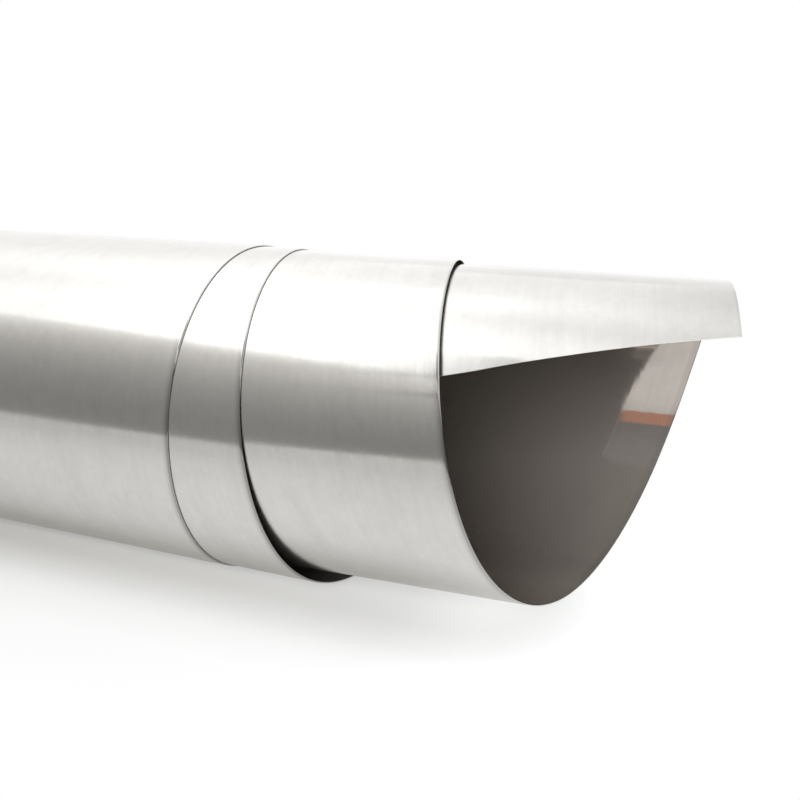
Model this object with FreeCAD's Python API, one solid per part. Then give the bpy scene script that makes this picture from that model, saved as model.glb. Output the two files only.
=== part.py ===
"""Titanium foil: one straight strip wound up loosely and on the skew.

The winding axis runs along X. The outer turns are snug, and the outer end springs
off them on to the floor, which keeps the roll from rolling. Each turn slides on to
+X past the one outside it, so the strip's side edge shows as a widening helix,
and the innermost turn shrinks off the others at that end and opens as a mouth.
The origin is the bottom centre of the bounding box, and the roll lies on +Z up.
"""
import FreeCAD
import Part
import math
import os

NODE = "foil_strip"

# Driving sizes in millimetres, turns counted inwards from the top of the outer turn.
SIZES = (
    ("StripWidth", 305.0, "width of the strip, square to its side edge"),
    ("FoilThickness", 0.3, "gauge of the foil"),
    ("RollRadius", 80.0, "axis to the middle of the foil at the top of the outer turn"),
    ("WrapGap", 0.4, "air between one snug turn and the next"),
    ("OuterLap", 0.45, "turns from the outer end, under the roll, to the top"),
    ("SpringFrom", 0.36, "turns from where the outer end starts to spring off, to the top"),
    ("OuterRise", 3.45, "how far the outer end springs off the roll, down to the floor"),
    ("InnerEnd", 3.095, "turns from the top of the outer turn to the inner corner"),
    ("InnerCutAngle", 5.5, "degrees that the inner end is cut out of square to the side edge"),
    ("MouthLift", 8.6, "rise of the innermost turn's underside at the mouth"),
    ("MouthDrop", 1.6, "fall of the innermost turn's top, one turn on, at the mouth"),
    ("LooseFrom", 2.0, "turns at which the winding stops being snug"),
)

# Slide of the side edge along the axis at each quarter turn, from half a turn before the top.
QUARTER = 0.25
FIRST_SLIDE_TURN = -0.5
EDGE_SLIDE = (
    -3.0, -1.0, 2.0, 4.6, 4.6, 9.0, 24.0, 42.2, 58.4, 79.5,
    104.5, 131.8, 163.8, 195.6, 219.4, 239.5, 259.0,
)

# The mouth's underside lies half a turn past where the winding stops being snug.
UNDERSIDE_TURN = 0.5

# The far edge is worked out to this many turns past the inner corner.
FAR_EDGE_SPARE_TURN = 0.125

STATIONS_PER_TURN = 18
INNER_CUT_STATIONS = 4
SEAM_SETBACK = 0.02
SEWING_TOLERANCE = 0.01


def make_sizes_sheet(document):
    """Spreadsheet with every driving size under its own name."""
    sheet = document.addObject("Spreadsheet::Sheet", "Sizes")
    for row, (name, value, meaning) in enumerate(SIZES, start=1):
        sheet.set("A%d" % row, name)
        sheet.set("B%d" % row, str(value))
        sheet.set("C%d" % row, meaning)
        sheet.setAlias("B%d" % row, name)
    first = len(SIZES) + 1
    for step, slide in enumerate(EDGE_SLIDE):
        sheet.set("A%d" % (first + step), "EdgeSlide%02d" % step)
        sheet.set("B%d" % (first + step), str(slide))
        sheet.set("C%d" % (first + step), "slide of the side edge, quarter turn %d" % step)
        sheet.setAlias("B%d" % (first + step), "EdgeSlide%02d" % step)
    document.recompute()
    return sheet


class Winding:
    """The shape that the strip is wound to, by turn and by place along the axis."""

    def __init__(self, sheet):
        self.width = float(sheet.StripWidth)
        self.radius = float(sheet.RollRadius)
        self.pitch = float(sheet.FoilThickness) + float(sheet.WrapGap)
        self.first_turn = -float(sheet.OuterLap)
        self.spring_from = -float(sheet.SpringFrom)
        self.rise = float(sheet.OuterRise)
        self.last_turn = float(sheet.InnerEnd)
        self.loose_from = float(sheet.LooseFrom)
        self.lift = float(sheet.MouthLift)
        self.drop = float(sheet.MouthDrop)
        turns = [FIRST_SLIDE_TURN + QUARTER * step for step in range(len(EDGE_SLIDE))]
        slides = [float(getattr(sheet, "EdgeSlide%02d" % step)) for step in range(len(EDGE_SLIDE))]
        self.near_edge = plane_curve(list(zip(turns, slides)))
        self.skew = math.radians(float(sheet.InnerCutAngle))
        self.corner_turn = self.cut_spot(self.width)[0]
        far_turns = stations(FIRST_SLIDE_TURN, self.last_turn + FAR_EDGE_SPARE_TURN)
        self.far_edge = plane_curve([self.spot(turn, self.width) for turn in far_turns])
        self.mouth_place = self.near_edge.value(self.loose_from + UNDERSIDE_TURN).y
        self.snug_place = self.far_edge.value(self.loose_from).y

    def radius_at(self, turn):
        """Radius of a snug spiral, sprung off at its outer end and drawn in where it is loose."""
        loose = max(0.0, turn - self.loose_from)
        sprung = max(0.0, (turn - self.spring_from) / (self.first_turn - self.spring_from))
        snug = self.radius - self.pitch * turn
        return snug + self.rise * sprung ** 2 - self.drop * loose ** 2

    def lift_at(self, turn, along):
        """Rise of a loose turn's centre, hung from the top, fading away from the mouth."""
        if turn <= self.loose_from:
            return 0.0
        share = (along - self.snug_place) / (self.mouth_place - self.snug_place)
        return self.lift / 2 * share

    def point(self, turn, along, offset):
        """Point of the foil, at an offset from its middle."""
        lift = self.lift_at(turn, along)
        radius = self.radius_at(turn) - lift + offset
        angle = 2 * math.pi * turn
        return FreeCAD.Vector(along, -radius * math.sin(angle), lift + radius * math.cos(angle))

    def spot(self, turn, inset):
        """Turn and place along the axis of a spot inset from the side edge, square to it."""
        place, rate = self.near_edge.getD1(turn)
        girth = 2 * math.pi * self.radius_at(turn)
        lead = math.atan2(rate.y, girth)
        return turn + inset * math.sin(lead) / girth, place.y - inset * math.cos(lead)

    def cut_spot(self, inset):
        """Turn and place along the axis of a spot on the inner end, inset from the side edge."""
        girth = 2 * math.pi * self.radius_at(self.last_turn)
        return self.spot(self.last_turn + inset * math.tan(self.skew) / girth, inset)

    def surface(self, offset):
        """Face of the foil at an offset from its middle: straight lines from edge to edge."""
        turns = stations(self.first_turn, self.corner_turn)
        rims = []
        for edge in (self.near_edge, self.far_edge):
            points = [self.point(turn, edge.value(turn).y, offset) for turn in turns]
            rim = Part.BSplineCurve()
            rim.interpolate(Points=points, Parameters=turns)
            rims.append(rim)
        surface = Part.BSplineSurface()
        surface.buildFromPolesMultsKnots(
            [list(pair) for pair in zip(rims[0].getPoles(), rims[1].getPoles())],
            rims[0].getMultiplicities(), (2, 2),
            rims[0].getKnots(), (0.0, 1.0),
            False, False, rims[0].Degree, 1,
        )
        return surface

    def inner_cut(self):
        """The inner end on the surface: turn against share of the width."""
        points = []
        for step in range(INNER_CUT_STATIONS):
            turn, along = self.cut_spot(self.width * step / INNER_CUT_STATIONS)
            near, far = self.near_edge.value(turn).y, self.far_edge.value(turn).y
            points.append(FreeCAD.Base.Vector2d(turn, (near - along) / (near - far)))
        points.append(FreeCAD.Base.Vector2d(self.corner_turn, 1.0))
        curve = Part.Geom2d.BSplineCurve2d()
        curve.interpolate(points)
        return curve

    def panels(self):
        """Borders of the long plain panel and of the short one that ends in the inner cut."""
        first, last, corner = self.first_turn, self.last_turn, self.corner_turn
        seam = last - SEAM_SETBACK
        return (
            {
                "near": border(first, 0.0, seam, 0.0),
                "seam": border(seam, 0.0, seam, 1.0),
                "far": border(seam, 1.0, first, 1.0),
                "outer end": border(first, 1.0, first, 0.0),
            },
            {
                "near": border(seam, 0.0, last, 0.0),
                "inner end": self.inner_cut(),
                "far": border(corner, 1.0, seam, 1.0),
                "seam": border(seam, 1.0, seam, 0.0),
            },
        )


def plane_curve(points):
    """Smooth curve that gives the place along the axis at any turn."""
    curve = Part.BSplineCurve()
    curve.interpolate(
        Points=[FreeCAD.Vector(turn, along, 0) for turn, along in points],
        Parameters=[turn for turn, along in points],
    )
    return curve


def stations(first, last):
    """Evenly spaced turns from first to last."""
    count = math.ceil((last - first) * STATIONS_PER_TURN)
    return [first + (last - first) * step / count for step in range(count + 1)]


def border(turn_from, share_from, turn_to, share_to):
    """Straight border on the surface, by turn and share of the width."""
    start = FreeCAD.Base.Vector2d(turn_from, share_from)
    end = FreeCAD.Base.Vector2d(turn_to, share_to)
    return Part.Geom2d.Line2dSegment(start, end)


def strip_solid(winding, thickness):
    """The strip: two faces a foil's thickness apart, walled along the four cut edges."""
    fronts, backs = winding.surface(thickness / 2), winding.surface(-thickness / 2)
    faces = []
    for panel in winding.panels():
        front_edges = {name: curve.toShape(fronts) for name, curve in panel.items()}
        back_edges = {name: curve.toShape(backs) for name, curve in panel.items()}
        faces.append(Part.Face(fronts, Part.Wire(list(front_edges.values()))))
        faces.append(Part.Face(backs, Part.Wire(list(back_edges.values()))))
        for name in panel:
            if name != "seam":
                faces.append(Part.makeRuledSurface(front_edges[name], back_edges[name]))
    skin = Part.makeCompound(faces)
    skin.sewShape(SEWING_TOLERANCE)
    solid = Part.makeSolid(skin.Shells[0])
    if solid.Volume < 0:
        solid.reverse()
    return solid


def check(document, piece):
    """Stop if anything in the document failed, or the piece is not one sound solid."""
    for item in document.Objects:
        if "Invalid" in item.State or "Error" in item.State:
            raise RuntimeError("%s failed: %s" % (item.Name, item.State))
    shape = piece.Shape
    if shape.isNull() or not shape.isValid() or len(shape.Solids) != 1:
        raise RuntimeError("%s is not one valid solid" % piece.Label)


def main():
    document = FreeCAD.newDocument("titanium_foil")
    sheet = make_sizes_sheet(document)
    winding = Winding(sheet)
    solid = strip_solid(winding, float(sheet.FoilThickness))
    box = solid.optimalBoundingBox(False, False)
    strip = document.addObject("Part::Feature", NODE)
    strip.Label = NODE
    strip.Shape = solid
    strip.Placement = FreeCAD.Placement(
        FreeCAD.Vector(-box.Center.x, -box.Center.y, -box.ZMin), FreeCAD.Rotation()
    )
    document.recompute()
    check(document, strip)
    os.makedirs("parts", exist_ok=True)
    strip.Shape.exportStep("parts/%s.step" % strip.Label)
    centre = strip.Shape.CenterOfMass
    print("volume %.1f mm3, area %.0f mm2" % (strip.Shape.Volume, strip.Shape.Area))
    print("length of the side edge %.1f mm" % max(edge.Length for edge in strip.Shape.Edges))
    print("box", strip.Shape.optimalBoundingBox(False, False))
    print("axis at y %.2f z %.2f, centre of mass %.2f %.2f %.2f" % (
        -box.Center.y, -box.ZMin, centre.x, centre.y, centre.z))


main()
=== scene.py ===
"""Looks of a roll of titanium foil: one thin rolled strip, lying in a plain pale studio.

The strip is wound by a Geometry Nodes tree from the same sizes as its solid, in
metres, and then made a plain mesh. Its finish is cold-rolled bare metal.
"""
import math
from types import SimpleNamespace

import bpy
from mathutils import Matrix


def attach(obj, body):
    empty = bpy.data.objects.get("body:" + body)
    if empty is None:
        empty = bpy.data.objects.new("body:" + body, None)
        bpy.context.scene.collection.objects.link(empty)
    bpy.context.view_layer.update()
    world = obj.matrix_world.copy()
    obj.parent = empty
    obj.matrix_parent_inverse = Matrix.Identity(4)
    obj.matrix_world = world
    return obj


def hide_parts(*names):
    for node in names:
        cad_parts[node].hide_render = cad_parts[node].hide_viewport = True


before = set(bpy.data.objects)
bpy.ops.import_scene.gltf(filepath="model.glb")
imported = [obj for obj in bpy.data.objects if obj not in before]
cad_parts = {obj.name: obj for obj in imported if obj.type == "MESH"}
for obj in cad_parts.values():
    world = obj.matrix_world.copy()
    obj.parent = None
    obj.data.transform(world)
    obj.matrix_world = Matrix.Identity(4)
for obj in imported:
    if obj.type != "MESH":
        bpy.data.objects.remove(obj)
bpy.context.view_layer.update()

bl_info = {
    "name": "Titanium Foil Roll",
    "version": (1, 0, 0),
    "blender": (4, 5, 0),
    "location": "View3D > Sidebar > Foil Roll",
    "description": "Winds a strip of titanium foil into a loose skewed roll and lights it",
    "category": "Object",
}

# The solid that the wound strip replaces, and its body.
NODE = "foil_strip"
BODY = "root"

# What the winding tree keeps on the mesh: the strip's own places, and which faces are which.
STRIP_UV = "strip_uv"
CUT_EDGE = "cut_edge"
INNER_FACE = "inner_face"

MM = 0.001

# Where the winding lies in the frame: the place along X that slides count from, and its axis.
SLIDE_ZERO_X = 0.04026
AXIS_Y = -0.00018
AXIS_Z = 0.07981

# The side edge's slide along the winding axis, in millimetres, at each quarter turn from
# half a turn outside the top of the outer turn.
QUARTER_TURN = 0.25
FIRST_SLIDE_TURN = -0.5
EDGE_SLIDE_MM = (
    -3.0, -1.0, 2.0, 4.6, 4.6, 9.0, 24.0, 42.2, 58.4, 79.5,
    104.5, 131.8, 163.8, 195.6, 219.4, 239.5, 259.0,
)

# Turns ahead and behind at which the side edge's slope is read.
SLOPE_STEP = 1 / 32

# The flap's cut bows: it falls short of straight up to the first inset, in metres, reaches
# past it from there on, and runs straight again from the second.
CUT_CROSSING = 0.0655
CUT_BOW_END = 0.10

# Share of its depth that the rolled-over side edge keeps, by turn: little round the mouth.
EDGE_ROLL_FADE = (2.2, 2.45, 1.0, 0.2)

# Mesh of the strip: its stations, how strongly they crowd towards the side edges, how close
# two corners are when they are one, and the angle past which an edge is sharp.
STATIONS_ALONG = 620
STATIONS_ACROSS = 58
EDGE_CROWDING = 0.97
WELD_DISTANCE = 0.00002
SHARP_ANGLE = math.radians(40)

# Settings of the strip that the winding tree takes as inputs.
WINDING_SIZES = (
    "strip_width", "foil_thickness", "roll_radius", "wrap_gap", "outer_lap", "spring_from",
    "outer_rise", "inner_end", "inner_cut_angle", "loose_from", "mouth_lift", "mouth_drop",
    "lift_starts", "lift_full", "cut_bow", "side_hug", "edge_roll_width", "edge_roll_depth",
)


class FoilStripSettings(bpy.types.PropertyGroup):
    """Sizes and colours of the wound strip."""

    strip_width: bpy.props.FloatProperty(
        name="Strip Width", description="Width of the strip, square to its side edge",
        default=0.305, min=0.01, unit="LENGTH")
    foil_thickness: bpy.props.FloatProperty(
        name="Foil Thickness", description="Gauge of the foil",
        default=0.0003, min=0.00001, precision=5, unit="LENGTH")
    roll_radius: bpy.props.FloatProperty(
        name="Roll Radius",
        description="Axis to the middle of the foil at the top of the outer turn",
        default=0.080, min=0.01, unit="LENGTH")
    wrap_gap: bpy.props.FloatProperty(
        name="Wrap Gap", description="Air between one snug turn and the next",
        default=0.0004, min=0.0, precision=5, unit="LENGTH")
    outer_lap: bpy.props.FloatProperty(
        name="Outer Lap", description="Turns from the outer end, under the roll, to the top",
        default=0.45)
    spring_from: bpy.props.FloatProperty(
        name="Spring From",
        description="Turns from where the outer end starts to spring off, to the top",
        default=0.36)
    outer_rise: bpy.props.FloatProperty(
        name="Outer Rise",
        description="How far the outer end springs off the roll, down to the floor",
        default=0.00345, precision=5, unit="LENGTH")
    inner_end: bpy.props.FloatProperty(
        name="Inner End", description="Turns from the top of the outer turn to the inner corner",
        default=3.095)
    inner_cut_angle: bpy.props.FloatProperty(
        name="Inner Cut Angle", description="How far the inner end is cut out of square",
        default=math.radians(5.5), subtype="ANGLE")
    loose_from: bpy.props.FloatProperty(
        name="Loose From", description="Turns at which the winding stops being snug",
        default=2.0)
    mouth_lift: bpy.props.FloatProperty(
        name="Mouth Lift", description="Rise of the innermost turn's underside at the mouth",
        default=0.0086, unit="LENGTH")
    mouth_drop: bpy.props.FloatProperty(
        name="Mouth Drop", description="Fall of the innermost turn's top, one turn on",
        default=0.0016, precision=4, unit="LENGTH")
    lift_starts: bpy.props.FloatProperty(
        name="Lift Starts",
        description="Place along the axis where the loose turns begin to lift",
        default=-0.20696, precision=4, unit="LENGTH")
    lift_full: bpy.props.FloatProperty(
        name="Lift Full", description="Place along the axis where the mouth's lift is reached",
        default=0.1638, precision=4, unit="LENGTH")
    cut_bow: bpy.props.FloatProperty(
        name="Cut Bow", description="How strongly the inner end's cut bows, per metre",
        default=0.58)
    side_hug: bpy.props.FloatProperty(
        name="Side Hug",
        description="How closely loose turns keep to the roll at their sides, "
        "away from the mouth",
        default=6.1, min=0.0)
    edge_roll_width: bpy.props.FloatProperty(
        name="Edge Roll Width", description="Band beside a sheared edge that bends inwards",
        default=0.0008, precision=4, unit="LENGTH")
    edge_roll_depth: bpy.props.FloatProperty(
        name="Edge Roll Depth", description="How far a sheared edge bends inwards",
        default=0.00036, precision=5, unit="LENGTH")
    metal_color: bpy.props.FloatVectorProperty(
        name="Metal Colour", description="Colour of the rolled face",
        default=(0.655, 0.643, 0.62), min=0.0, max=1.0, size=3, subtype="COLOR")
    # The cut edge's pale colour is partly the sheared metal's own and partly a painted highlight
    # along the cut.
    cut_color: bpy.props.FloatVectorProperty(
        name="Cut Edge Colour", description="Colour of the freshly sheared edge",
        default=(0.85, 0.84, 0.82), min=0.0, max=1.0, size=3, subtype="COLOR")
    roughness: bpy.props.FloatProperty(
        name="Roughness", description="Roughness of the clean rolled face",
        default=0.16, min=0.0, max=1.0)
    grain_blur: bpy.props.FloatProperty(
        name="Grain Blur", description="How much more the rolled face blurs across its grain",
        default=0.95, min=0.0, max=1.0)
    # The inner face's colour is darker and warmer than the outer face's: painted shade of the
    # roll's inside.
    inner_shaded_color: bpy.props.FloatVectorProperty(
        name="Inner Colour", description="Colour of the duller inner face",
        default=(0.54, 0.495, 0.455), min=0.0, max=1.0, size=3, subtype="COLOR")
    inner_roughness: bpy.props.FloatProperty(
        name="Inner Roughness", description="Roughness of the duller inner face",
        default=0.06, min=0.0, max=1.0)
    inner_scatter: bpy.props.FloatProperty(
        name="Inner Scatter", description="Share of light that the dull inner face scatters",
        default=0.25, min=0.0, max=1.0)


class StudioSettings(bpy.types.PropertyGroup):
    """Floor, lights, screen and camera of the studio."""

    floor_color: bpy.props.FloatVectorProperty(
        name="Floor Colour", description="Colour of the pale floor",
        default=(0.66, 0.655, 0.63), min=0.0, max=1.0, size=3, subtype="COLOR")
    panel_power: bpy.props.FloatProperty(
        name="Panel Power", description="Power of the soft panel overhead",
        default=18.0, min=0.0, unit="POWER")
    front_power: bpy.props.FloatProperty(
        name="Front Power", description="Power of the soft panel that shines into the mouth",
        default=17.0, min=0.0, unit="POWER")
    fill_strength: bpy.props.FloatProperty(
        name="Fill Strength", description="Strength of the soft light from all round",
        default=0.3, min=0.0)
    screen_distance: bpy.props.FloatProperty(
        name="Screen Distance", description="From the winding axis to the grey screen in front",
        default=0.60, min=0.1, unit="LENGTH")
    lens: bpy.props.FloatProperty(
        name="Lens", description="Focal length in millimetres on a 36 mm sensor",
        default=42.75, min=1.0)


class Number:
    """Number that a node tree works out. Arithmetic on it adds Math nodes to the tree."""

    def __init__(self, socket):
        self.socket = socket

    def __add__(self, other):
        return calculate("ADD", self, other)

    def __sub__(self, other):
        return calculate("SUBTRACT", self, other)

    def __rsub__(self, other):
        return calculate("SUBTRACT", other, self)

    def __mul__(self, other):
        return calculate("MULTIPLY", self, other)

    def __truediv__(self, other):
        return calculate("DIVIDE", self, other)


def feed(socket, value):
    """Feed a socket from a number or another socket, or give it a plain value."""
    if isinstance(value, Number):
        value = value.socket
    if isinstance(value, bpy.types.NodeSocket):
        socket.id_data.links.new(value, socket)
    else:
        socket.default_value = value


def feed_inputs(node, inputs):
    """Feed a node's inputs, each found by its name or its place in the row."""
    for key, value in inputs.items():
        feed(node.inputs[key], value)


def add_node(tree, kind, inputs=None, **options):
    """Node with its options set and then its inputs fed."""
    node = tree.nodes.new(kind)
    for option, value in options.items():
        setattr(node, option, value)
    feed_inputs(node, inputs or {})
    return node


def calculate(operation, *terms):
    """Number from a Math node. At least one of the terms is a Number."""
    tree = next(term.socket.id_data for term in terms if isinstance(term, Number))
    node = add_node(tree, "ShaderNodeMath", dict(enumerate(terms)), operation=operation)
    return Number(node.outputs[0])


def larger(number, other):
    """The larger of a number and another."""
    return calculate("MAXIMUM", number, other)


def smaller(number, other):
    """The smaller of a number and another."""
    return calculate("MINIMUM", number, other)


def split_vector(vector):
    """X, Y and Z of a vector socket."""
    node = add_node(vector.id_data, "ShaderNodeSeparateXYZ", {0: vector})
    return [Number(output) for output in node.outputs]


def make_vector(tree, x, y, z):
    """Vector socket from three numbers."""
    return add_node(tree, "ShaderNodeCombineXYZ", {0: x, 1: y, 2: z}).outputs[0]


def span(number, low, high, to_low, to_high):
    """Number taken evenly from one range to another, and held at its ends.

    A range that has a name of its own holds these four values.
    """
    node = add_node(number.socket.id_data, "ShaderNodeMapRange", {
        "Value": number, "From Min": low, "From Max": high, "To Min": to_low, "To Max": to_high,
    })
    return Number(node.outputs["Result"])


def graph(number, places, handles="VECTOR"):
    """Number read off a curve through the places: straight between them, or smooth with AUTO."""
    node = add_node(number.socket.id_data, "ShaderNodeFloatCurve", {"Value": number})
    mapping = node.mapping
    mapping.use_clip = False
    mapping.extend = "HORIZONTAL"
    curve = mapping.curves[0]
    for point, place in zip(list(curve.points), (places[0], places[-1])):
        point.location = place
    for place in places[1:-1]:
        curve.points.new(*place)
    for point in curve.points:
        point.handle_type = handles
    mapping.update()
    return Number(node.outputs["Value"])


def add_sockets(tree, kind, names, in_out="INPUT"):
    """Named sockets of one kind on a node group."""
    for name in names:
        tree.interface.new_socket(name=name, in_out=in_out, socket_type=kind)


def input_name(size):
    """Name of the winding tree's input for a size, the same as in the sidebar."""
    return size.replace("_", " ").title()


def edge_slide_group():
    """Node group: slide of the strip's side edge along the axis at any turn."""
    tree = bpy.data.node_groups.new("Edge Slide", "GeometryNodeTree")
    add_sockets(tree, "NodeSocketFloat", ["Turn"])
    add_sockets(tree, "NodeSocketFloat", ["Slide"], "OUTPUT")
    turn = Number(tree.nodes.new("NodeGroupInput").outputs["Turn"])
    places = [(FIRST_SLIDE_TURN + QUARTER_TURN * step, slide * MM)
              for step, slide in enumerate(EDGE_SLIDE_MM)]
    add_node(tree, "NodeGroupOutput", {"Slide": graph(turn, places, "AUTO")})
    return tree


def edge_slide(group, turn):
    """Slide of the side edge at a turn."""
    node = add_node(turn.socket.id_data, "GeometryNodeGroup", {"Turn": turn}, node_tree=group)
    return Number(node.outputs["Slide"])


def spiral_radius(sizes, turn):
    """Radius of the winding at a turn: snug, sprung off at its outer end, drawn in where loose."""
    loose = larger(turn - sizes.loose_from, 0.0)
    drop = sizes.mouth_drop * (loose * loose)
    sprung = larger((turn + sizes.spring_from) / (sizes.spring_from - sizes.outer_lap), 0.0)
    rise = sizes.outer_rise * (sprung * sprung)
    pitch = sizes.foil_thickness + sizes.wrap_gap
    return sizes.roll_radius - pitch * turn - drop + rise


def cut_bow(sizes, inset):
    """How much further than straight the inner end's cut reaches."""
    bowed = smaller(inset, CUT_BOW_END)
    return bowed * (bowed - CUT_CROSSING) * sizes.cut_bow


def edge_roll(sizes, inset, depth):
    """How far the foil bends inwards at an inset from its edge: none past the roll's width."""
    left = larger(1.0 - inset / sizes.edge_roll_width, 0.0)
    return depth * (left * left)


def side_hug(sizes, angle, lift, fade):
    """How much further out than a hung circle the sides of a loose turn lie."""
    down = (1.0 - calculate("COSINE", angle)) * 0.5
    inside = larger(1.0 - fade, 0.0)
    fuller = down - calculate("POWER", down, sizes.side_hug * inside + 1.0)
    return lift * 2.0 * fuller


def wound_place(tree, sizes, edge_turn, inset):
    """Where a spot of the strip lies in the roll, as a vector.

    The spot is given by its turn along the side edge and its inset from that edge.
    """
    # The strip runs square to its side edge, so it leans by the edge's lead.
    group = edge_slide_group()
    ahead = edge_slide(group, edge_turn + SLOPE_STEP)
    behind = edge_slide(group, edge_turn - SLOPE_STEP)
    rate = (ahead - behind) / (2 * SLOPE_STEP)
    girth = spiral_radius(sizes, edge_turn) * math.tau
    lead = calculate("ARCTAN2", rate, girth)
    turn = edge_turn + inset * calculate("SINE", lead) / girth
    along = edge_slide(group, edge_turn) - inset * calculate("COSINE", lead)

    # Loose turns hang from the top of the roll, and their undersides lift towards the mouth.
    is_loose = calculate("GREATER_THAN", turn, sizes.loose_from)
    fade = (along - sizes.lift_starts) / (sizes.lift_full - sizes.lift_starts)
    lift = is_loose * (sizes.mouth_lift * 0.5 * fade)

    # The side edges are rolled over, less so round the mouth.
    depth = sizes.edge_roll_depth * span(turn, *EDGE_ROLL_FADE)
    far_inset = sizes.strip_width - inset
    bend = edge_roll(sizes, inset, depth) + edge_roll(sizes, far_inset, depth)

    angle = turn * math.tau
    outer_face = spiral_radius(sizes, turn) - lift - bend + sizes.foil_thickness * 0.5
    radius = outer_face + side_hug(sizes, angle, lift, fade)
    sideways = radius * calculate("SINE", angle)
    upright = radius * calculate("COSINE", angle)
    return make_vector(tree, along + SLIDE_ZERO_X, AXIS_Y - sideways, upright + lift + AXIS_Z)


def give_gauge(tree, gauge, outer_face):
    """Thicken the outer face inwards by the gauge, and close the cut edges."""
    flip = add_node(tree, "GeometryNodeFlipFaces", {"Mesh": outer_face})
    extrude = add_node(tree, "GeometryNodeExtrudeMesh", {
        "Mesh": outer_face, "Offset Scale": gauge, "Individual": False,
    }, mode="FACES")
    marked = mark_faces(tree, extrude.outputs["Mesh"], CUT_EDGE, extrude.outputs["Side"])
    marked = mark_faces(tree, marked, INNER_FACE, extrude.outputs["Top"])

    # The outer face itself, turned to point outwards, closes the shell.
    join = tree.nodes.new("GeometryNodeJoinGeometry")
    for part in (marked, flip.outputs["Mesh"]):
        feed(join.inputs["Geometry"], part)
    geometry = join.outputs["Geometry"]
    for kind, inputs in (
        ("GeometryNodeMergeByDistance", {"Distance": WELD_DISTANCE}),
        ("GeometryNodeSetShadeSmooth", {}),
        ("GeometryNodeRealizeInstances", {}),
    ):
        node = add_node(tree, kind, {"Geometry": geometry, **inputs})
        geometry = node.outputs["Geometry"]
    return geometry


def mark_faces(tree, geometry, name, selected):
    """Keep a selection of faces under a name."""
    mark = add_node(tree, "GeometryNodeStoreNamedAttribute", {
        "Geometry": geometry, "Name": name, "Value": selected,
    }, data_type="BOOLEAN", domain="FACE")
    return mark.outputs["Geometry"]


def give_metal(tree, geometry, metal, marked=None):
    """Give every face, or the marked ones, a metal."""
    dress = add_node(tree, "GeometryNodeSetMaterial", {"Geometry": geometry, "Material": metal})
    if marked:
        chosen = add_node(tree, "GeometryNodeInputNamedAttribute", {"Name": marked},
                          data_type="BOOLEAN")
        feed(dress.inputs["Selection"], chosen.outputs["Attribute"])
    return dress.outputs["Geometry"]


def winding_tree():
    """Geometry Nodes tree that winds a flat strip up on the skew."""
    tree = bpy.data.node_groups.new("Wind Foil Strip", "GeometryNodeTree")
    add_sockets(tree, "NodeSocketFloat", map(input_name, WINDING_SIZES))
    add_sockets(tree, "NodeSocketInt", ("Stations Along", "Stations Across"))
    add_sockets(tree, "NodeSocketMaterial",
                ("Outer Face Metal", "Inner Face Metal", "Cut Edge Metal"))
    add_sockets(tree, "NodeSocketGeometry", ["Geometry"], "OUTPUT")
    given = tree.nodes.new("NodeGroupInput").outputs
    sizes = SimpleNamespace(**{size: Number(given[input_name(size)]) for size in WINDING_SIZES})

    flat = add_node(tree, "GeometryNodeMeshGrid", {
        "Size X": 1.0, "Size Y": 1.0,
        "Vertices X": given["Stations Along"], "Vertices Y": given["Stations Across"],
    })
    flat_x, flat_y, _ = split_vector(tree.nodes.new("GeometryNodeInputPosition").outputs[0])
    share_along = flat_x + 0.5
    even_share = flat_y + 0.5

    # Stations crowd towards both side edges, where the sheared edge rolls over.
    wave = calculate("SINE", even_share * math.tau)
    share_across = even_share - wave * (EDGE_CROWDING / math.tau)
    inset = share_across * sizes.strip_width

    # The inner end is cut out of square, so the strip is longest along its far edge.
    end_girth = spiral_radius(sizes, sizes.inner_end) * math.tau
    cut_slope = calculate("TANGENT", sizes.inner_cut_angle)
    cut_reach = inset * cut_slope + cut_bow(sizes, inset)
    strip_turns = sizes.outer_lap + sizes.inner_end + cut_reach / end_girth
    edge_turn = share_along * strip_turns - sizes.outer_lap

    # The strip's own length and width in metres, for grain that follows the metal.
    length = edge_turn * (sizes.roll_radius * math.tau)
    keep_uv = add_node(tree, "GeometryNodeStoreNamedAttribute", {
        "Geometry": flat.outputs["Mesh"], "Name": STRIP_UV,
        "Value": make_vector(tree, length, inset, 0.0),
    }, data_type="FLOAT2", domain="CORNER")
    wind = add_node(tree, "GeometryNodeSetPosition", {
        "Geometry": keep_uv.outputs["Geometry"],
        "Position": wound_place(tree, sizes, edge_turn, inset),
    })
    closed = give_gauge(tree, given["Foil Thickness"], wind.outputs["Geometry"])
    dressed = give_metal(tree, closed, given["Outer Face Metal"])
    dressed = give_metal(tree, dressed, given["Inner Face Metal"], INNER_FACE)
    dressed = give_metal(tree, dressed, given["Cut Edge Metal"], CUT_EDGE)
    add_node(tree, "NodeGroupOutput", {"Geometry": dressed})
    return tree


# Noise patterns of the rolled faces: scale for each metre along and across the strip,
# detail, roughness and distortion.
FINE_LINES = (14.0, 2600.0, 3.0, 0.6, 0.0)
BROAD_LINES = (5.0, 420.0, 2.0, 0.5, 0.0)
SMUDGES = (22.0, 40.0, 5.0, 0.62, 0.6)
MOTTLE = (120.0, 120.0, 6.0, 0.7, 0.0)
RIPPLE = (9.0, 13.0, 1.0, 0.4, 0.0)
DIMPLES = (170.0, 260.0, 2.0, 0.5, 0.0)

# Share of fine and of broad lines in the rolling lines, and the part of the smudges' noise
# that shows.
FINE_SHARE = 0.6
BROAD_SHARE = 0.4
SMUDGE_RANGE = (0.48, 0.72, 0.0, 1.0)

# Painted shade beside a sheared side edge, standing in for the dark reflection along its
# rolled-over band: the share of the metal free of it by millimetres from the edge, and how dark
# the painted shade is.
FREE_OF_EDGE_SHADE = (
    (0.0, 0.0), (0.5, 0.02), (0.9, 0.18), (1.3, 0.5),
    (1.7, 0.66), (2.2, 0.78), (2.8, 0.91), (3.6, 1.0),
)
PAINTED_EDGE_SHADE = 0.5
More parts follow.
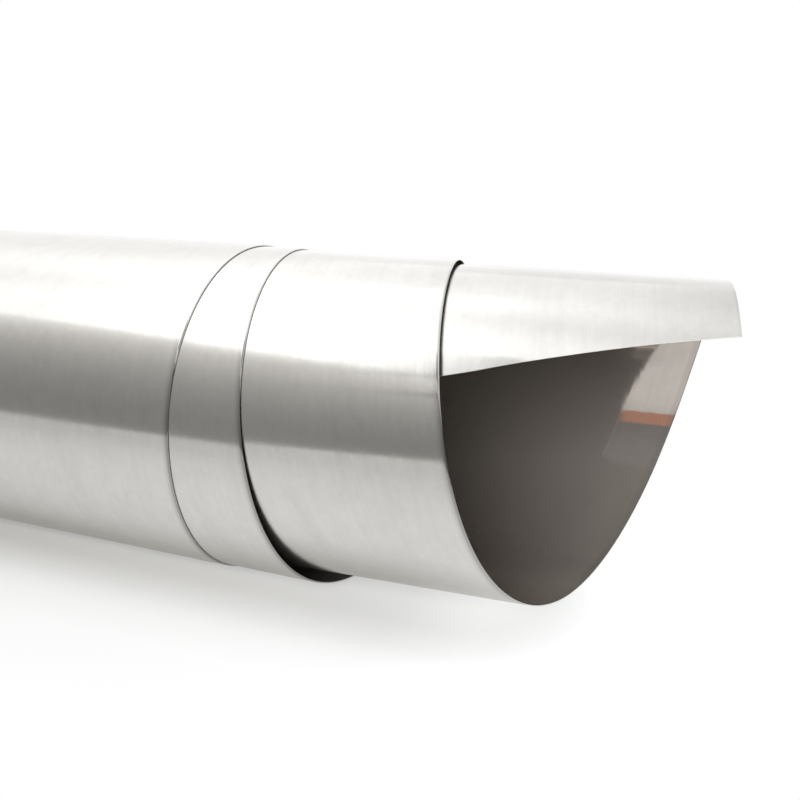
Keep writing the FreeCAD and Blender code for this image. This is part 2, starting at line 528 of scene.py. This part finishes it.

# How much of the face is free of that painted shade anyway, by metres along the strip towards its
# inner end, and by height, so that no painted shade lies on the roll's upper side.
SHADE_FREE_BY_LENGTH = (1.13, 1.25, 0.0, 0.8)
SHADE_FREE_BY_HEIGHT = (0.114, 0.129, 0.0, 1.0)

# How dark the dull patches are, and how much of them each pattern brings.
DULL_TONE = 0.91
DULL_BY_SMUDGE = 0.55
DULL_BY_MOTTLE = (0.4, 0.65, 0.0, 0.45)
DULL_BY_LINE = (0.4, 0.6, 0.0, 0.3)

# What smudges and rolling lines add to the roughness.
ROUGH_BY_SMUDGE = 0.03
ROUGH_BY_LINE = (0.3, 0.7, -0.02, 0.03)

# Relief of the rolled faces: pattern, strength, and height in metres.
RELIEF = (("Ripple", 1.0, 0.00015), ("Dimples", 1.0, 0.000018), ("Lines", 0.25, 0.000012))

# Part of a full turn from the strip's length to the way that its sheen is drawn out.
SHEEN_TURN = 0.25

# Roughness of the cut edge over its mottle, and how metallic it is.
CUT_ROUGHNESS = (0.3, 0.7, 0.4, 0.55)
CUT_METALLIC = 0.3


def new_material(name):
    """Material made of nodes, and its tree."""
    material = bpy.data.materials.new(name)
    material.use_nodes = True
    return material, material.node_tree


def toned(color, tone):
    """Colour made darker by a tone."""
    return tuple(channel * tone for channel in color)


def opaque(color):
    """Colour as the four channels that a socket takes."""
    return tuple(color) + (1.0,)


def mixed_color(tree, factor, first, second):
    """Colour between two others."""
    node = add_node(tree, "ShaderNodeMix", {"Factor": factor, "A": first, "B": second},
                    data_type="RGBA")
    return node.outputs["Result"]


def noise(place, along, across, detail, roughness, distortion):
    """Number from a noise pattern that follows the strip."""
    tree = place.id_data
    stretched = add_node(tree, "ShaderNodeMapping", {
        "Vector": place, "Scale": (along, across, 1.0),
    })
    node = add_node(tree, "ShaderNodeTexNoise", {
        "Vector": stretched.outputs["Vector"], "Scale": 1.0, "Detail": detail,
        "Roughness": roughness, "Distortion": distortion,
    })
    return Number(node.outputs[0])


def rolled_surface_group():
    """Shader group: fine rolling lines, faint smudges and mottling of cold-rolled foil, and where
    shade is painted beside its side edges.
    """
    tree = bpy.data.node_groups.new("Rolled Surface", "ShaderNodeTree")
    add_sockets(tree, "NodeSocketVector", ["Strip Place"])
    add_sockets(tree, "NodeSocketFloat", ("Strip Width", "Height"))
    add_sockets(tree, "NodeSocketFloat",
                ("Lines", "Smudges", "Mottle", "Ripple", "Dimples", "Free Of Edge Shade"), "OUTPUT")
    given = tree.nodes.new("NodeGroupInput").outputs
    place = given["Strip Place"]
    length, inset, _ = split_vector(place)
    from_edge = smaller(inset, Number(given["Strip Width"]) - inset)
    # Share of the face free of the painted shade beside the side edges: none at an edge, all past
    # a few millimetres, mostly free towards the inner end and wholly free on the upper side.
    clean = graph(from_edge / MM, FREE_OF_EDGE_SHADE)
    clean = larger(clean, span(length, *SHADE_FREE_BY_LENGTH))
    clean = larger(clean, span(Number(given["Height"]), *SHADE_FREE_BY_HEIGHT))
    add_node(tree, "NodeGroupOutput", {
        "Lines": noise(place, *FINE_LINES) * FINE_SHARE + noise(place, *BROAD_LINES) * BROAD_SHARE,
        "Smudges": span(noise(place, *SMUDGES), *SMUDGE_RANGE),
        "Mottle": noise(place, *MOTTLE),
        "Ripple": noise(place, *RIPPLE),
        "Dimples": noise(place, *DIMPLES),
        "Free Of Edge Shade": clean,
    })
    return tree


def rolled_patterns(tree, surface, strip_width):
    """Patterns of the rolled surface in a material, by name."""
    place = add_node(tree, "ShaderNodeUVMap", uv_map=STRIP_UV)
    _, _, height = split_vector(tree.nodes.new("ShaderNodeTexCoord").outputs["Object"])
    group = add_node(tree, "ShaderNodeGroup", {
        "Strip Place": place.outputs["UV"], "Strip Width": strip_width, "Height": height,
    }, node_tree=surface)
    return {output.name: Number(output) for output in group.outputs}


def face_metal(surface, name, color, roughness, scatter, strip_width, grain_blur=0.0):
    """Bare cold-rolled titanium: half-bright, with the grain along the strip."""
    material, tree = new_material(name)
    shader = tree.nodes["Principled BSDF"]
    patterns = rolled_patterns(tree, surface, strip_width)
    smudges, lines = patterns["Smudges"], patterns["Lines"]

    patches = smudges * DULL_BY_SMUDGE + span(patterns["Mottle"], *DULL_BY_MOTTLE)
    patches = patches + span(lines, *DULL_BY_LINE)
    rolled = mixed_color(tree, patches, opaque(color), opaque(toned(color, DULL_TONE)))
    # Painted shade: the colour darkens towards each sheared side edge.
    marked = mixed_color(tree, patterns["Free Of Edge Shade"], opaque(toned(color, PAINTED_EDGE_SHADE)), rolled)
    feed_inputs(shader, {
        "Base Color": marked,
        "Roughness": smudges * ROUGH_BY_SMUDGE + roughness + span(lines, *ROUGH_BY_LINE),
        "Metallic": 1.0 - scatter,
    })

    normal = shader.inputs["Normal"]
    for pattern, strength, depth in reversed(RELIEF):
        bump = add_node(tree, "ShaderNodeBump", {
            "Strength": strength, "Distance": depth, "Height": patterns[pattern],
        })
        feed(normal, bump.outputs["Normal"])
        normal = bump.inputs["Normal"]

    if grain_blur:
        tangent = add_node(tree, "ShaderNodeTangent", direction_type="UV_MAP", uv_map=STRIP_UV)
        feed_inputs(shader, {
            "Tangent": tangent.outputs["Tangent"],
            "Anisotropic": grain_blur,
            "Anisotropic Rotation": SHEEN_TURN,
        })
    return material


def cut_edge_metal(surface, settings):
    """Sheared edge of the foil: duller than the rolled faces, and paler, partly its own look and
    partly a painted highlight along the cut.
    """
    material, tree = new_material("Sheared Titanium Edge")
    mottle = rolled_patterns(tree, surface, settings.strip_width)["Mottle"]
    tint = mixed_color(tree, mottle, opaque(settings.cut_color), opaque(settings.metal_color))
    feed_inputs(tree.nodes["Principled BSDF"], {
        "Base Color": tint, "Roughness": span(mottle, *CUT_ROUGHNESS), "Metallic": CUT_METALLIC,
    })
    return material


def socket_identifier(tree, name):
    """Identifier of a tree's named input, by which a modifier sets it."""
    for item in tree.interface.items_tree:
        if item.item_type == "SOCKET" and item.in_out == "INPUT" and item.name == name:
            return item.identifier
    raise KeyError(name)


def mesh_from_tree(context, tree, values):
    """Plain mesh that a tree makes with its inputs set to the values."""
    base = bpy.data.objects.new("flat_strip", bpy.data.meshes.new("flat_strip"))
    context.scene.collection.objects.link(base)
    modifier = base.modifiers.new("Wind Foil Strip", "NODES")
    modifier.node_group = tree
    for name, value in values.items():
        modifier[socket_identifier(tree, name)] = value
    context.view_layer.update()
    evaluated = base.evaluated_get(context.evaluated_depsgraph_get())
    mesh = bpy.data.meshes.new_from_object(evaluated)
    bpy.data.objects.remove(base)
    if not mesh.polygons:
        raise RuntimeError("the winding tree gave no faces")

    # The flat strip has no metal of its own, which can leave an empty slot in front.
    while mesh.materials and mesh.materials[0] is None:
        mesh.materials.pop(index=0)
    return mesh


class OBJECT_OT_wind_foil_strip(bpy.types.Operator):
    """Wind the strip of foil and give it its finish"""

    bl_idname = "object.wind_foil_strip"
    bl_label = "Wind Foil Strip"

    def execute(self, context):
        settings = context.scene.foil_strip
        surface = rolled_surface_group()
        values = {input_name(size): getattr(settings, size) for size in WINDING_SIZES}
        values["Stations Along"] = STATIONS_ALONG
        values["Stations Across"] = STATIONS_ACROSS
        values["Outer Face Metal"] = face_metal(
            surface, "Titanium Outer Face", settings.metal_color, settings.roughness, 0.0,
            settings.strip_width, settings.grain_blur)
        # The inner face takes the darker, warmer colour: painted shade of the roll's inside.
        values["Inner Face Metal"] = face_metal(
            surface, "Titanium Inner Face", settings.inner_shaded_color, settings.inner_roughness,
            settings.inner_scatter, settings.strip_width)
        values["Cut Edge Metal"] = cut_edge_metal(surface, settings)

        mesh = mesh_from_tree(context, winding_tree(), values)
        mesh.name = "wound_foil"
        mesh.set_sharp_from_angle(angle=SHARP_ANGLE)
        strip = bpy.data.objects.new("wound_foil", mesh)
        context.scene.collection.objects.link(strip)
        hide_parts(NODE)
        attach(strip, BODY)
        return {"FINISHED"}


# Colours of the cards that the metal mirrors.
WHITE = (1.0, 1.0, 1.0)
NEUTRAL = (1.0, 0.985, 0.955)
COPPER = (0.515, 0.18, 0.075)

# Screen in front of the roll: its ends along X, and the height of its top at each end.
SCREEN_X = (-1.60, 0.75)
SCREEN_TOP = (1.376, 0.354)

# Brightness of the screen by share of its height, and how it changes along X.
SCREEN_BY_HEIGHT = (
    (0.00, 0.31), (0.20, 0.315), (0.36, 0.38), (0.50, 0.47), (0.60, 0.55),
    (0.80, 0.78), (0.87, 0.90), (0.95, 1.05), (1.00, 1.15),
)
SCREEN_BY_X = ((-0.55, 1.0), (-0.36, 0.97), (-0.17, 1.07), (-0.03, 1.02), (0.2, 0.95))

# Height of the pale strip at the screen's foot, along X, and how bright it is.
SCREEN_FOOT = ((-0.40, 0.0), (-0.17, 0.014), (-0.03, 0.034), (0.1, 0.044))
FOOT_LEVEL = 0.88

# Copper card low in front, whose reflection is the brown streak in the mouth: its ends along
# X, its height, how far it stands ahead of the screen, and how far away it starts to show.
STREAK_X = (0.096, 0.20)
STREAK_HEIGHT = 0.08
STREAK_AHEAD = 0.105
STREAK_NEAREST = 0.5

# How far the two dim cards stand ahead of the screen.
SHADE_AHEAD = 0.005

# Dim card high in front, by place along X and height, and its brightness.
HIGH_SHADE_OUTLINE = ((-0.09, 0.72), (0.5, 0.72), (0.5, 1.44), (-0.125, 1.44))
HIGH_SHADE_LEVEL = 0.26

# Dark card low before the mouth, which only the inside is far enough away to mirror.
MOUTH_SHADE_X = (-0.02, 1.3)
MOUTH_SHADE_HEIGHT = 0.55
MOUTH_SHADE_LEVEL = 0.075
MOUTH_SHADE_NEAREST = 0.665

# Ceiling card, and the backdrop card that hangs from its back edge.
CEILING_X = (-3.2, 0.9)
CEILING_Y = (-1.6, 2.6)
CEILING_HEIGHT = 1.45
BACKDROP_BY_X = ((-3.2, 1.25), (-0.9, 1.22), (-0.5, 1.10), (0.5, 1.10))

# Brightness of the ceiling along X and along Y, with a dim seam, and how far the seam lies
# towards the front by place along X.
CEILING_BY_X = (
    (-3.2, 1.50), (-1.35, 1.58), (-1.1, 1.75), (-0.95, 2.1), (-0.4, 2.05), (-0.27, 1.80),
    (-0.18, 1.65), (-0.11, 1.56), (0.02, 1.40), (0.1, 1.27), (0.15, 1.20), (0.2, 1.10),
    (0.5, 1.05),
)
CEILING_BY_Y = (
    (-1.6, 1.0), (-0.5, 1.0), (-0.3, 1.03), (-0.1, 0.98), (0.05, 0.885), (0.15, 0.865),
    (0.3, 0.92), (0.5, 1.0), (0.7, 0.96), (1.0, 0.90), (1.4, 0.84), (2.0, 0.81), (2.6, 0.80),
)
SEAM_SLANT = ((-0.25, 0.0), (-0.1, 0.03), (0.0, 0.18), (0.1, 0.20))

# The most that the ceiling shines behind the roll, along Y, and how that changes along X.
CEILING_MOST_BY_Y = (
    (0.55, 2.2), (0.65, 1.8), (0.8, 1.52), (1.1, 1.42), (1.5, 1.34), (1.8, 1.30), (2.6, 1.26),
)
CEILING_MOST_BY_X = ((-1.3, 1.3), (-0.96, 1.17), (-0.6, 1.0), (0.5, 1.0))

# Half the floor's side, and where the roll lies on it along X.
FLOOR_REACH = 6.0
CONTACT_LINE = (-0.25, 0.15)

# Share of plain white seen in the floor by distance from the roll, and what more of it there
# is along X, which fades with the distance.
FLOOR_WHITE = (
    (0.0, 0.42), (0.02, 0.40), (0.033, 0.34), (0.04, 0.31), (0.05, 0.38), (0.06, 0.50),
    (0.07, 0.70), (0.08, 0.84), (0.10, 0.96), (0.15, 1.02), (0.3, 1.1),
)
WHITE_BY_X = (
    (-0.12, -0.20), (-0.08, -0.17), (0.0, -0.09), (0.08, 0.02), (0.13, 0.12), (0.17, 0.40),
    (0.22, 0.5),
)
WHITE_BY_X_FADE = (0.09, 0.18, 1.0, 0.0)

# In reflections the floor shows less white close to the roll, and a painted falloff of light makes
# it dimmer far from it and to the left.
MIRRORED_SHADE = ((0.0, 0.40), (0.03, 0.35), (0.045, 0.19), (0.06, 0.05), (0.08, 0.0))
MIRRORED_DIMMING = ((0.0, 0.0), (0.12, 0.0), (0.35, 0.2), (1.0, 0.22))
DIMMING_BY_X = (-0.3, 0.0, 0.09, 0.0)

# Soft panels overhead and in front: size, place and turn.
OVERHEAD_PANEL = ((3.0, 3.6), (-0.5, 0.75, 1.45), (0.0, 0.0, 0.0))
FRONT_PANEL = ((0.8, 0.5), (0.25, -1.15, 0.58), (math.radians(61), 0.0, math.radians(4)))

# The camera: its place, how far it looks down and to the left, its sensor's width in
# millimetres, and how near it can see.
CAMERA_PLACE = (0.28714, -0.39170, 0.21669)
CAMERA_DOWN = math.radians(16.297)
CAMERA_LEFT = math.radians(23.381)
SENSOR_WIDTH_MM = 36.0
CAMERA_NEAREST = 0.01


def screen_level(x, y, z):
    """The screen is pale at its top and dark low down, with a pale strip at its foot."""
    share_up = z / span(x, *SCREEN_X, *SCREEN_TOP)
    level = graph(share_up, SCREEN_BY_HEIGHT) * graph(x, SCREEN_BY_X)
    in_foot = calculate("LESS_THAN", z, graph(x, SCREEN_FOOT))
    return larger(level, in_foot * FOOT_LEVEL)


def ceiling_level(x, y, z):
    """The ceiling is bright over the roll, with a dim slanting seam, and falls off all round."""
    level = graph(x, CEILING_BY_X) * graph(y + graph(x, SEAM_SLANT), CEILING_BY_Y)
    return smaller(level, graph(x, CEILING_MOST_BY_X) * graph(y, CEILING_MOST_BY_Y))


def backdrop_level(x, y, z):
    """The backdrop falls off past the mouth too."""
    return graph(x, BACKDROP_BY_X)


def even_level(x, y, z):
    """The same brightness everywhere."""
    return 1.0


def show_between(tree, factor, first, second):
    """Show the first shader where the factor is 0, and the second where it is 1."""
    mix = add_node(tree, "ShaderNodeMixShader", {
        "Fac": factor, 1: first.outputs[0], 2: second.outputs[0],
    })
    add_node(tree, "ShaderNodeOutputMaterial", {"Surface": mix.outputs[0]})


def glow_material(name, color, brightness, nearest):
    """Plain glowing card, clear to rays from nearer than nearest.

    brightness(x, y, z) gives how bright it is at a place.
    """
    material, tree = new_material(name)
    tree.nodes.clear()
    place = split_vector(tree.nodes.new("ShaderNodeTexCoord").outputs["Object"])
    glow = add_node(tree, "ShaderNodeEmission", {
        "Color": opaque(color), "Strength": brightness(*place),
    })
    way = Number(tree.nodes.new("ShaderNodeLightPath").outputs["Ray Length"])
    clear = tree.nodes.new("ShaderNodeBsdfTransparent")
    show_between(tree, calculate("GREATER_THAN", way, nearest), clear, glow)
    return material


def seen_directly(tree):
    """1 for rays from the camera and for reflected and transmitted ones, 0 for the rest."""
    path = tree.nodes.new("ShaderNodeLightPath").outputs
    seen = larger(Number(path["Is Camera Ray"]), path["Is Glossy Ray"])
    return larger(seen, path["Is Transmission Ray"])


def places_on_floor(tree):
    """Place on the floor along X, and distance from the line that the roll lies along."""
    x, y, _ = split_vector(tree.nodes.new("ShaderNodeTexCoord").outputs["Object"])
    left, right = CONTACT_LINE
    from_middle = calculate("ABSOLUTE", x - (left + right) / 2)
    past = larger(from_middle - (right - left) / 2, 0.0)
    away = add_node(tree, "ShaderNodeVectorMath", {0: make_vector(tree, past, y, 0.0)},
                    operation="LENGTH")
    return x, Number(away.outputs["Value"])


def floor_material(color):
    """Plain pale floor that keeps the roll's shadow and runs out into the white background."""
    material, tree = new_material("Studio Floor")
    tree.nodes.clear()
    x, away = places_on_floor(tree)
    reflected = Number(tree.nodes.new("ShaderNodeLightPath").outputs["Is Glossy Ray"])
    share = graph(away, FLOOR_WHITE) + graph(x, WHITE_BY_X) * span(away, *WHITE_BY_X_FADE)
    share = larger(share - reflected * graph(away, MIRRORED_SHADE), 0.0)
    # Painted falloff of light: the floor's white dims in reflections with distance and towards the
    # left.
    dimming = graph(away, MIRRORED_DIMMING) + span(x, *DIMMING_BY_X)
    matt = add_node(tree, "ShaderNodeBsdfDiffuse", {"Color": opaque(color)})
    white = add_node(tree, "ShaderNodeEmission", {"Strength": 1.0 - reflected * dimming})
    show_between(tree, seen_directly(tree) * share, matt, white)
    return material


def white_world(fill):
    """World that is white to the camera and in the metal, and lights the rest softly."""
    world = bpy.data.worlds.new("Studio World")
    world.use_nodes = True
    tree = world.node_tree
    feed_inputs(tree.nodes["Background"], {
        "Color": opaque(WHITE), "Strength": span(seen_directly(tree), 0.0, 1.0, fill, 1.0),
    })
    return world


def rectangle(across, up):
    """Corners of a rectangle from its two places each way."""
    (left, right), (low, high) = across, up
    return ((left, low), (right, low), (right, high), (left, high))


def upright(corners, y):
    """Corners by place along X and height, stood up at a place along Y."""
    return [(x, y, z) for x, z in corners]


def lying(corners, z):
    """Corners by place along X and Y, laid level at a height."""
    return [(x, y, z) for x, y in corners]


def flat_card(name, corners, material):
    """Flat four-cornered card."""
    mesh = bpy.data.meshes.new(name)
    mesh.from_pydata(corners, [], [tuple(range(len(corners)))])
    mesh.materials.append(material)
    card = bpy.data.objects.new(name, mesh)
    bpy.context.scene.collection.objects.link(card)
    return card


def only_in_reflections(card):
    """Show a card to the metal alone: it casts no shadow and the camera doesn't see it."""
    card.visible_camera = False
    card.visible_diffuse = False
    card.visible_transmission = False
    card.visible_volume_scatter = False
    card.visible_shadow = False


def soft_panel(name, power, size, place, turn):
    """Soft panel lamp that the metal doesn't mirror."""
    lamp = bpy.data.lights.new(name, "AREA")
    lamp.shape = "RECTANGLE"
    lamp.size, lamp.size_y = size
    lamp.energy = power
    panel = bpy.data.objects.new(name, lamp)
    panel.location = place
    panel.rotation_euler = turn
    panel.visible_glossy = False
    bpy.context.scene.collection.objects.link(panel)


def photo_camera(lens):
    """Camera at the photo's viewing angle."""
    data = bpy.data.cameras.new("photo_camera")
    data.sensor_width = SENSOR_WIDTH_MM
    data.lens = lens
    data.clip_start = CAMERA_NEAREST
    camera = bpy.data.objects.new("photo_camera", data)
    camera.location = CAMERA_PLACE
    camera.rotation_euler = (math.radians(90) - CAMERA_DOWN, 0.0, CAMERA_LEFT)
    bpy.context.scene.collection.objects.link(camera)
    return camera


class OBJECT_OT_set_foil_studio(bpy.types.Operator):
    """Set up the pale floor, the soft light, the grey screen and the camera"""

    bl_idname = "object.set_foil_studio"
    bl_label = "Set Foil Studio"

    def execute(self, context):
        scene = context.scene
        settings = scene.foil_studio
        scene.view_settings.view_transform = "Standard"
        scene.world = white_world(settings.fill_strength)

        sides = (-FLOOR_REACH, FLOOR_REACH)
        floor = flat_card("studio_floor", lying(rectangle(sides, sides), 0.0),
                          floor_material(settings.floor_color))

        front = AXIS_Y - settings.screen_distance
        (left, right), (left_top, right_top) = SCREEN_X, SCREEN_TOP
        screen = ((left, 0.0), (right, 0.0), (right, right_top), (left, left_top))
        streak = rectangle(STREAK_X, (0.0, STREAK_HEIGHT))
        mouth_shade = rectangle(MOUTH_SHADE_X, (0.0, MOUTH_SHADE_HEIGHT))
        ceiling = rectangle(CEILING_X, CEILING_Y)
        backdrop = rectangle(CEILING_X, (0.0, CEILING_HEIGHT))
        for name, corners, color, brightness, nearest in (
            ("studio_screen", upright(screen, front), NEUTRAL, screen_level, 0.0),
            ("studio_table_edge", upright(streak, front + STREAK_AHEAD), COPPER,
             even_level, STREAK_NEAREST),
            ("studio_camera_shade", upright(HIGH_SHADE_OUTLINE, front + SHADE_AHEAD),
             toned(NEUTRAL, HIGH_SHADE_LEVEL), even_level, 0.0),
            ("studio_mouth_shade", upright(mouth_shade, front + SHADE_AHEAD),
             toned(NEUTRAL, MOUTH_SHADE_LEVEL), even_level, MOUTH_SHADE_NEAREST),
            ("studio_ceiling", lying(ceiling, CEILING_HEIGHT), WHITE, ceiling_level, 0.0),
            ("studio_backdrop", upright(backdrop, CEILING_Y[1]), WHITE, backdrop_level, 0.0),
        ):
            card = flat_card(name, corners, glow_material(name, color, brightness, nearest))
            only_in_reflections(card)

        soft_panel("overhead_panel", settings.panel_power, *OVERHEAD_PANEL)
        soft_panel("front_panel", settings.front_power, *FRONT_PANEL)
        scene.camera = photo_camera(settings.lens)
        return {"FINISHED"}


class VIEW3D_PT_foil_roll(bpy.types.Panel):
    """Sidebar panel of the foil roll"""

    bl_idname = "VIEW3D_PT_foil_roll"
    bl_label = "Foil Roll"
    bl_space_type = "VIEW_3D"
    bl_region_type = "UI"
    bl_category = "Foil Roll"

    def draw(self, context):
        layout = self.layout
        for settings in (context.scene.foil_strip, context.scene.foil_studio):
            column = layout.column()
            for name in settings.bl_rna.properties.keys():
                if name not in ("rna_type", "name"):
                    column.prop(settings, name)
        layout.operator(OBJECT_OT_wind_foil_strip.bl_idname)
        layout.operator(OBJECT_OT_set_foil_studio.bl_idname)


CLASSES = (
    FoilStripSettings,
    StudioSettings,
    OBJECT_OT_wind_foil_strip,
    OBJECT_OT_set_foil_studio,
    VIEW3D_PT_foil_roll,
)


def register():
    """Register the classes and keep their settings with the scene."""
    for item in CLASSES:
        bpy.utils.register_class(item)
    bpy.types.Scene.foil_strip = bpy.props.PointerProperty(type=FoilStripSettings)
    bpy.types.Scene.foil_studio = bpy.props.PointerProperty(type=StudioSettings)


def unregister():
    """Take out what register put in."""
    del bpy.types.Scene.foil_studio
    del bpy.types.Scene.foil_strip
    for item in reversed(CLASSES):
        bpy.utils.unregister_class(item)


def main():
    """Make the strip and the studio."""
    register()
    bpy.ops.object.wind_foil_strip()
    bpy.ops.object.set_foil_studio()


if __name__ == "__main__":
    main()
